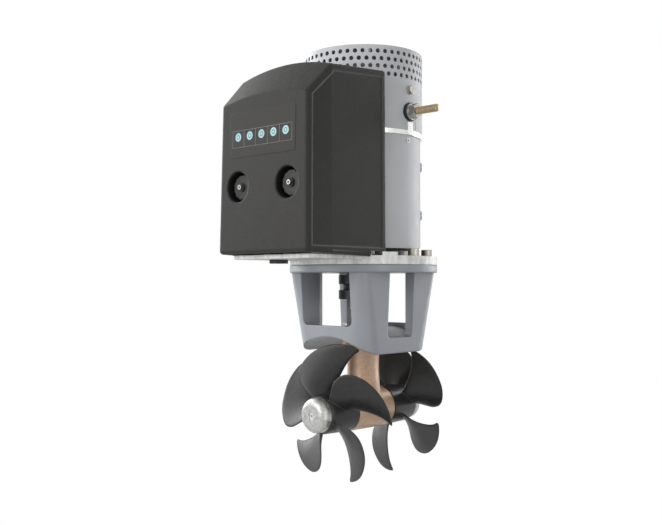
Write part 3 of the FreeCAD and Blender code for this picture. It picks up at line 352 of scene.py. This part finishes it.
def stacked(name):
    """Edge of a stack of electrical steel sheets."""
    f = Finish(name, 0.4, 0.9)
    sheets = f.bands(300.0, 0.1)
    f.colours(sheets, (0.2, rgb(96, 98, 102)), (0.8, rgb(150, 152, 156)))
    f.bump((sheets, 0.00015))
    return f.material


FINISHES = {
    "bolt_zinc": machined("bolt_zinc", rgb(168, 164, 158), 0.4),
    "knob_plastic": moulded("knob_plastic", rgb(46, 46, 45), 0.45, 0.0007, 0.00003),
    # painted shade for the cups' walls, and the black of the nut rings
    "shade_and_nut_black": moulded("shade_and_nut_black", rgb(14, 14, 14), 0.55),
    "label_plate": moulded("label_plate", rgb(41, 40, 38), 0.42, 0.0006, 0.00001, 0.03, specular=0.2),
    "label_line": moulded("label_line", rgb(150, 146, 138), 0.45, 0.0006, 0.00001),
    "label_disc": moulded("label_disc", rgb(158, 196, 202), 0.4, 0.0006, 0.00001),
    "bracket_paint": painted("bracket_paint", rgb(142, 145, 151), 0.42, edge=0.0025),
    "motor_paint": painted("motor_paint", rgb(184, 186, 189), 0.48, specular=0.3),
    "raw_casting": cast("raw_casting", rgb(172, 172, 170), rgb(232, 232, 230), 0.5, 0.2, 0.0014, 0.0001,
                        patch=0.010, stretch=(1.0, 1.0, 0.35)),
    "black_iron": machined("black_iron", rgb(48, 48, 50), 0.45, 0.6),
    "bronze": cast("bronze", rgb(172, 142, 118), rgb(196, 166, 142), 0.42, 0.35, 0.0010, 0.00005),
    "propeller_composite": composite("propeller_composite"),
    "zinc": cast("zinc", rgb(138, 138, 135), rgb(198, 198, 194), 0.38, 0.75, 0.0008, 0.00005),
    "plated_steel": machined("plated_steel", rgb(220, 220, 218), 0.28),
    "steel": machined("steel", rgb(176, 178, 182), 0.3),
    "laminations": stacked("laminations"),
    "copper": wound("copper"),
    "carbon": moulded("carbon", rgb(40, 40, 42), 0.5, 0.0006, 0.00003),
    "rubber": moulded("rubber", rgb(34, 34, 35), 0.62, 0.0007, 0.00004),
    "cover_plastic": cover_shell("cover_plastic", rgb(40, 39, 38)),
    "black_plastic": moulded("black_plastic", rgb(30, 30, 31), 0.45),
    "yellow_zinc": machined("yellow_zinc", rgb(150, 134, 108), 0.3),
    "white_plastic": moulded("white_plastic", rgb(226, 226, 222), 0.45),
    "gasket_paper": moulded("gasket_paper", rgb(70, 72, 70), 0.8, 0.0008, 0.00008),
}


def dress(obj, finish):
    """Gives an object one finish in place of its own materials."""
    obj.data.materials.clear()
    obj.data.materials.append(FINISHES[finish])


for part in frame["record"]["subparts"]:
    dress(NODES[part["node"]], part["material_slot"])
dress(NODES["left_thumb_nut"], "knob_plastic")
dress(NODES["right_thumb_nut"], "knob_plastic")
for node in ("adapter_bolts", "cover_studs", "band_bolt", "terminal_nut"):
    dress(NODES[node], "bolt_zinc")


# ---- mesh helpers: shapes in mm, pieces in metres ----

def piece(name, bm, finish, body, crease=35):
    """Makes a closed mesh into a piece that rides on a body."""
    bmesh.ops.scale(bm, vec=(MM, MM, MM), verts=bm.verts)
    bmesh.ops.recalc_face_normals(bm, faces=bm.faces)
    mesh = bpy.data.meshes.new(name)
    bm.to_mesh(mesh)
    bm.free()
    mesh.shade_smooth()
    mesh.set_sharp_from_angle(angle=math.radians(crease))
    obj = bpy.data.objects.new(name, mesh)
    bpy.context.scene.collection.objects.link(obj)
    dress(obj, finish)
    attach(obj, body)
    return obj


def placed(origin, axis):
    """Matrix that moves the origin to a point and turns Z along an axis."""
    turn = Vector(axis).to_track_quat("Z", "Y").to_matrix().to_4x4()
    return Matrix.Translation(Vector(origin)) @ turn


def revolve(bm, profile, place, segments):
    """Turns a closed profile of (radius, height) points about place's Z axis."""
    rings = []
    for k in range(segments):
        turn = 2 * math.pi * k / segments
        rings.append([bm.verts.new(place @ Vector((r * math.cos(turn), r * math.sin(turn), h)))
                      for r, h in profile])
    for ring, following in zip(rings, rings[1:] + rings[:1]):
        for a in range(len(profile)):
            b = (a + 1) % len(profile)
            bm.faces.new((ring[a], ring[b], following[b], following[a]))
    bmesh.ops.remove_doubles(bm, verts=bm.verts, dist=1e-5)


def skin(bm, loops):
    """Closed skin over a row of loops with as many points each."""
    for loop, following in zip(loops, loops[1:]):
        for a in range(len(loop)):
            b = (a + 1) % len(loop)
            bm.faces.new((loop[a], loop[b], following[b], following[a]))
    bm.faces.new(loops[0])
    bm.faces.new(loops[-1])


def screw_rod(bm, place, plain, thread):
    """A rod along place's Z, as (radius, start, end): plain first, then threaded with a chamfered end."""
    r, start, end = thread
    count = int((end - start) / THREAD_PITCH * THREAD_STEPS)
    heights = [plain[1], plain[2]] + [start + (end - start) * k / count for k in range(count + 1)]
    rings = []
    for n, h in enumerate(heights):
        ring = []
        for k in range(THREAD_SIDES):
            turn = k / THREAD_SIDES
            groove = THREAD_DEPTH * abs(2 * ((h / THREAD_PITCH - turn) % 1.0) - 1)
            radius = plain[0] if n < 2 else min(r - groove, r - max(0.0, h - end + THREAD_CHAMFER))
            angle = 2 * math.pi * turn
            point = Vector((radius * math.cos(angle), radius * math.sin(angle), h))
            ring.append(bm.verts.new(place @ point))
        rings.append(ring)
    skin(bm, rings)


def front_point(x, z, out):
    """A point out mm in front of the cover's front face."""
    (y0, z0), (y1, z1) = COVER_FRONT
    return Vector((x, y0 + (y1 - y0) * (z - z0) / (z1 - z0) - out, z))


def front_slab(bm, outline, base, top):
    """A slab on the cover's front between two heights above it."""
    skin(bm, [[bm.verts.new(front_point(x, z, out)) for x, z in outline] for out in (base, top)])


def rectangle(x0, x1, z0, z1, r=0.0):
    """Outline of a rectangle, with round corners if r is given."""
    if not r:
        return [(x0, z0), (x1, z0), (x1, z1), (x0, z1)]
    centres = ((x1 - r, z0 + r, -90), (x1 - r, z1 - r, 0), (x0 + r, z1 - r, 90), (x0 + r, z0 + r, 180))
    return [(cx + r * math.cos(math.radians(start + 90 * k / CORNER_STEPS)),
             cz + r * math.sin(math.radians(start + 90 * k / CORNER_STEPS)))
            for cx, cz, start in centres for k in range(CORNER_STEPS + 1)]


def cup_middles():
    """Name and x of the cover's left and right cup."""
    return ("left", COVER_MIDDLE - CUP_X), ("right", COVER_MIDDLE + CUP_X)


# ---- pieces ----

def vent_band():
    """Sheet band with round staggered vents and a slit in its lower edge."""
    low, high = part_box("perforated_band")
    bottom, top = low.z / MM, high.z / MM
    columns = VENTS_PER_ROW * VENT_COLUMNS
    width = 2 * math.pi * BAND_R / columns
    half = VENT_PITCH / 2
    upper_rim = top - VENT_FIRST + half                     # lower edge of the plain strip on top
    skirt = upper_rim - VENT_PITCH * VENT_ROWS              # upper edge of the plain strip below
    slit_top = bottom + SLIT_HEIGHT
    bm = bmesh.new()

    def vert(column, z):
        turn = 2 * math.pi * column / columns
        return bm.verts.new((BAND_R * math.cos(turn), BAND_R * math.sin(turn), z))

    def quad(c0, c1, z0, z1):
        bm.faces.new((vert(c0, z0), vert(c1, z0), vert(c1, z1), vert(c0, z1)))

    def vent(middle, z):
        """A patch of VENT_COLUMNS columns with a round hole in its middle."""
        side = VENT_COLUMNS // 2
        rim = [(k - side, -half) for k in range(VENT_COLUMNS)]
        rim += [(side, k * VENT_PITCH / VENT_COLUMNS - half) for k in range(VENT_COLUMNS)]
        rim += [(-c, -h) for c, h in rim]
        outer = [vert(middle + c, z + h) for c, h in rim]
        inner = []
        for c, h in rim:
            share = VENT_R / math.hypot(c * width, h)
            inner.append(vert(middle + c * share, z + h * share))
        for a in range(len(rim)):
            b = (a + 1) % len(rim)
            bm.faces.new((outer[a], outer[b], inner[b], inner[a]))

    for row in range(VENT_ROWS):
        for k in range(VENTS_PER_ROW):
            middle = VENT_COLUMNS * (k + 0.5 * (row % 2))
            vent(middle, top - VENT_FIRST - VENT_PITCH * row)
    slit = SLIT_TURN / 360 * columns
    slit_half = SLIT_WIDTH / 2 / width
    edges = sorted([*range(columns + 1), slit - slit_half, slit + slit_half])
    for c0, c1 in zip(edges, edges[1:]):
        if c1 - c0 >= 1:
            quad(c0, c1, upper_rim, top)
        quad(c0, c1, slit_top, skirt)
        if not c0 <= slit <= c1:
            quad(c0, c1, bottom, slit_top)
    quad(int(slit), int(slit) + 1, upper_rim, top)
    bmesh.ops.remove_doubles(bm, verts=bm.verts, dist=1e-4)
    made = bmesh.ops.extrude_face_region(bm, geom=bm.faces[:], use_keep_orig=True)["geom"]
    shrink = (BAND_R - BAND_WALL) / BAND_R
    for v in made:
        if isinstance(v, bmesh.types.BMVert):
            v.co = Vector((v.co.x * shrink, v.co.y * shrink, v.co.z))
    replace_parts(piece("vent_band", bm, "motor_paint", "housing", 30), "perforated_band")


def between(a, b, c, d, share):
    """Catmull-Rom curve between b and c, for each number of the four rows."""
    return [0.5 * (2 * q + (r - p) * share + (2 * p - 5 * q + 4 * r - s) * share ** 2
                   + (3 * q - p - 3 * r + s) * share ** 3) for p, q, r, s in zip(a, b, c, d)]


def blade(bm, turn, place):
    """One skewed blade: lens sections wrapped on the helix, with round edges."""
    rows = [BLADE_STATIONS[0], *BLADE_STATIONS, BLADE_STATIONS[-1]]
    stations = [between(*rows[k:k + 4], n / BLADE_STEPS)
                for k in range(len(rows) - 3) for n in range(BLADE_STEPS)]
    stations.append(BLADE_STATIONS[-1])
    plane_y = -TORPEDO_HALF - HUB_LENGTH / 2
    loops = []
    for radius, angle, chord, thickness in stations:
        pitch = math.atan2(BLADE_PITCH, 2 * math.pi * radius)
        middle_y = plane_y + (angle + BLADE_FORWARD) / 360 * BLADE_PITCH
        loop = []
        for k in range(BLADE_SIDES):
            a = 2 * math.pi * k / BLADE_SIDES
            along, off = chord / 2 * math.cos(a), thickness / 2 * math.sin(a)
            across = along * math.cos(pitch) - off * math.sin(pitch)
            direction = math.radians(turn + angle) + across / radius
            y = middle_y + along * math.sin(pitch) + off * math.cos(pitch)
            point = Vector((radius * math.sin(direction), y, radius * math.cos(direction)))
            loop.append(bm.verts.new(place @ point))
        loops.append(loop)
    skin(bm, loops)


def propellers():
    """Five blades and a hub for each end of the propeller shaft."""
    rear = Matrix.Rotation(math.radians(REAR_TURN), 4, "Y") @ Matrix.Rotation(math.pi, 4, "Z")
    nose, length = -TORPEDO_HALF - HUB_LENGTH, HUB_LENGTH - HUB_GAP
    hub = [(0, 0), (HUB_R - 2.5, 0), (HUB_R - 1.0, 2.2), (HUB_R, 6), (HUB_R + 1.2, length), (0, length)]
    for name, node, place in (("front_blades", "front_propeller", Matrix.Identity(4)),
                              ("rear_blades", "rear_propeller", rear)):
        bm = bmesh.new()
        revolve(bm, hub, place @ placed((0, nose, 0), (0, 1, 0)), FINE)
        for k in range(BLADE_COUNT):
            blade(bm, BLADE_TURN + 360.0 / BLADE_COUNT * k, place)
        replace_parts(piece(name, bm, "propeller_composite", "propellers", 50), node)


def terminal_thread():
    """The terminal stud with its M10 thread."""
    low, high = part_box("terminal_stud")
    z = (low.z + high.z) / 2 / MM
    start, end = low.x / MM, high.x / MM
    bm = bmesh.new()
    screw_rod(bm, placed((0, 0, z), (1, 0, 0)), (TERMINAL_PLAIN_R, start, NUT_END_X),
              (TERMINAL_R, NUT_END_X + THREAD_GAP, end))
    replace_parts(piece("terminal_thread", bm, "yellow_zinc", "housing", 50), "terminal_stud")


def cup_painted_shades():
    """Painted shade: black walls inside the cover's two cups, standing in for the shade in the recesses."""
    wall, floor, inner_r = CUP_R - 0.6, 0.4, 9.0
    for side, x in cup_middles():
        depth = CUP_SEAT_Y - front_point(x, CUP_Z + CUP_R, 0).y - 0.3
        bm = bmesh.new()
        revolve(bm, [(CUP_R, 0), (CUP_R, depth), (wall, depth - 0.6), (wall, floor + 0.8),
                     (wall - 0.8, floor), (inner_r, floor), (inner_r, 0)],
                placed((x, CUP_SEAT_Y, CUP_Z), (0, -1, 0)), FINE)
        piece(side + "_cup_painted_shade", bm, "shade_and_nut_black", "cover")


def label():
    """Bare label on the cover's front: a plate, and a thin frame with a plain disc in each field."""
    bm = bmesh.new()
    front_slab(bm, rectangle(*LABEL_X, *LABEL_Z, LABEL_CORNER_R), 0.0, LABEL_TOP)
    piece("label_plate", bm, "label_plate", "cover")
    bm = bmesh.new()
    (x0, x1), (z0, z1) = FRAME_X, FRAME_Z
    for z in (z0, z1 - FRAME_LINE):
        front_slab(bm, rectangle(x0, x1, z, z + FRAME_LINE), LABEL_TOP, FRAME_TOP)
    for k in range(LABEL_FIELDS + 1):
        x = x0 + (x1 - x0 - FRAME_LINE) * k / LABEL_FIELDS
        front_slab(bm, rectangle(x, x + FRAME_LINE, z0 + FRAME_LINE, z1 - FRAME_LINE),
                   LABEL_TOP, FRAME_TOP)
    piece("label_frame", bm, "label_line", "cover")
    field = (x1 - x0) / LABEL_FIELDS
    slope = front_point(0, 1, 0).y - front_point(0, 0, 0).y
    inner, outer, ring_top = RING
    discs, rings = bmesh.new(), bmesh.new()
    for k in range(LABEL_FIELDS):
        x = x0 + field * (k + 0.5)
        place = placed(front_point(x, DISC_Z, LABEL_TOP), (0, -1, slope))
        revolve(discs, [(0, 0), (DISC_R, 0), (DISC_R, DISC_HEIGHT), (0, DISC_HEIGHT)], place, MEDIUM)
        revolve(rings, [(inner, DISC_HEIGHT), (outer, DISC_HEIGHT), (outer, ring_top), (inner, ring_top)],
                place, MEDIUM)
    piece("label_discs", discs, "label_disc", "cover")
    piece("label_rings", rings, "label_plate", "cover")


def nut_rings():
    """Black faces of the thumb nuts' inserts, round the stud."""
    inner, outer, height = NUT_RING
    for side, x in cup_middles():
        front_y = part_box(side + "_thumb_nut")[0].y / MM
        bm = bmesh.new()
        revolve(bm, [(inner, 0), (outer, 0), (outer, height), (inner, height)],
                placed((x, front_y, CUP_Z), (0, -1, 0)), MEDIUM)
        piece(side + "_nut_ring", bm, "shade_and_nut_black", side + "_nut")


def stud_ends():
    """Dark centres in the ends of the cover's two stand-off studs."""
    radius, height = STUD_END
    front_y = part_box("cover_studs")[0].y / MM
    bm = bmesh.new()
    for _, x in cup_middles():
        revolve(bm, [(0, 0), (radius, 0), (radius, height), (0, height)],
                placed((x, front_y, CUP_Z), (0, -1, 0)), COARSE)
    piece("stud_ends", bm, "black_plastic", "housing")


def tag_dot():
    """Black dot in the middle of the white tag."""
    low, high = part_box("inspection_tag")
    middle = (low + high) / 2 / MM
    bm = bmesh.new()
    sunk, height = 0.4, 0.6
    revolve(bm, [(0, 0), (TAG_DOT_R, 0), (TAG_DOT_R, height - 0.1), (TAG_DOT_R - 0.2, height), (0, height)],
            placed((high.x / MM - sunk, middle.y, middle.z), (1, 0, 0)), COARSE)
    piece("tag_dot", bm, "black_plastic", "housing")


vent_band()
propellers()
terminal_thread()
cup_painted_shades()
label()
nut_rings()
stud_ends()
tag_dot()


# ---- camera, light and stage ----

def ground_direction(azimuth):
    """Unit vector from the motor axis towards a viewer at that azimuth."""
    a = math.radians(azimuth)
    return Vector((math.sin(a), -math.cos(a), 0.0))


def make_camera():
    """Camera from the photo's side, at its distance and height."""
    towards = ground_direction(CAMERA_AZIMUTH)
    data = bpy.data.cameras.new("camera")
    data.lens = LENS
    data.sensor_width = SENSOR
    data.clip_start = 0.05
    camera = bpy.data.objects.new("camera", data)
    bpy.context.scene.collection.objects.link(camera)
    camera.location = towards * CAMERA_DISTANCE + Vector((0, 0, CAMERA_HEIGHT))
    heading = math.radians(CAMERA_AZIMUTH + CAMERA_YAW)
    camera.rotation_euler = (math.radians(90 + CAMERA_PITCH), 0.0, heading)
    bpy.context.scene.camera = camera


def area_light(name, turn, height, distance, panel, power):
    """Rectangular light that looks at the motor axis, turned from the camera's azimuth."""
    data = bpy.data.lights.new(name, "AREA")
    data.shape = "RECTANGLE"
    data.size, data.size_y = panel
    data.energy = power
    lamp = bpy.data.objects.new(name, data)
    bpy.context.scene.collection.objects.link(lamp)
    lamp.location = ground_direction(CAMERA_AZIMUTH + turn) * distance + Vector((0, 0, height))
    aim = Vector((0, 0, LIGHT_AIM_HEIGHT)) - lamp.location
    lamp.rotation_euler = aim.to_track_quat("-Z", "Y").to_euler()


def seen_directly(tree):
    """1 for camera, glossy and transmission rays, else 0."""
    path = tree.nodes.new("ShaderNodeLightPath")
    total = None
    for ray in ("Is Camera Ray", "Is Glossy Ray", "Is Transmission Ray"):
        if total is None:
            total = path.outputs[ray]
            continue
        most = tree.nodes.new("ShaderNodeMath")
        most.operation = "MAXIMUM"
        tree.links.new(total, most.inputs[0])
        tree.links.new(path.outputs[ray], most.inputs[1])
        total = most.outputs[0]
    return total


def make_world(level):
    """White to the eye and in reflections, and a plain soft level as light."""
    world = bpy.data.worlds.new("studio")
    world.use_nodes = True
    tree = world.node_tree
    lighting = tree.nodes["Background"]
    lighting.inputs["Color"].default_value = (1, 1, 1, 1)
    lighting.inputs["Strength"].default_value = level
    white = tree.nodes.new("ShaderNodeBackground")
    white.inputs["Color"].default_value = (1, 1, 1, 1)
    mix = tree.nodes.new("ShaderNodeMixShader")
    tree.links.new(seen_directly(tree), mix.inputs["Fac"])
    tree.links.new(lighting.outputs["Background"], mix.inputs[1])
    tree.links.new(white.outputs["Background"], mix.inputs[2])
    tree.links.new(mix.outputs["Shader"], tree.nodes["World Output"].inputs["Surface"])
    bpy.context.scene.world = world


def make_floor():
    """Pale disc that keeps the shadow, throws little light back and fades into the white."""
    mesh = bpy.data.meshes.new("floor")
    bm = bmesh.new()
    bmesh.ops.create_circle(bm, cap_ends=True, segments=FINE, radius=FLOOR_RADIUS)
    bm.to_mesh(mesh)
    bm.free()
    floor = bpy.data.objects.new("floor", mesh)
    bpy.context.scene.collection.objects.link(floor)
    floor.location.z = cad_box[0].z - FLOOR_DROP
    material = bpy.data.materials.new("floor")
    material.use_nodes = True
    tree = material.node_tree
    paint = tree.nodes["Principled BSDF"]
    paint.inputs["Base Color"].default_value = (FLOOR_PALE, FLOOR_PALE, FLOOR_PALE, 1)
    paint.inputs["Roughness"].default_value = 0.9
    bounce = tree.nodes.new("ShaderNodeBsdfDiffuse")
    bounce.inputs["Color"].default_value = (FLOOR_BOUNCE, FLOOR_BOUNCE, FLOOR_BOUNCE, 1)
    surface = tree.nodes.new("ShaderNodeMixShader")
    seen = seen_directly(tree)
    tree.links.new(seen, surface.inputs["Fac"])
    tree.links.new(bounce.outputs["BSDF"], surface.inputs[1])
    tree.links.new(paint.outputs["BSDF"], surface.inputs[2])
    glow = tree.nodes.new("ShaderNodeEmission")
    glow.inputs["Strength"].default_value = 1.0
    coordinates = tree.nodes.new("ShaderNodeTexCoord")
    length = tree.nodes.new("ShaderNodeVectorMath")
    length.operation = "LENGTH"
    tree.links.new(coordinates.outputs["Object"], length.inputs[0])
    fade = tree.nodes.new("ShaderNodeMapRange")
    fade.interpolation_type = "SMOOTHSTEP"
    fade.inputs["From Min"].default_value = FLOOR_RADIUS * FLOOR_CLEAR
    fade.inputs["From Max"].default_value = FLOOR_RADIUS * FLOOR_FADED
    tree.links.new(length.outputs["Value"], fade.inputs["Value"])
    share = tree.nodes.new("ShaderNodeMath")
    share.operation = "MULTIPLY"
    tree.links.new(fade.outputs["Result"], share.inputs[0])
    tree.links.new(seen, share.inputs[1])
    mix = tree.nodes.new("ShaderNodeMixShader")
    tree.links.new(share.outputs[0], mix.inputs["Fac"])
    tree.links.new(surface.outputs["Shader"], mix.inputs[1])
    tree.links.new(glow.outputs["Emission"], mix.inputs[2])
    tree.links.new(mix.outputs["Shader"], tree.nodes["Material Output"].inputs["Surface"])
    mesh.materials.append(material)


make_camera()
make_world(WORLD_LEVEL)
for light in LIGHTS:
    area_light(*light)
make_floor()
bpy.context.scene.view_settings.view_transform = "Standard"
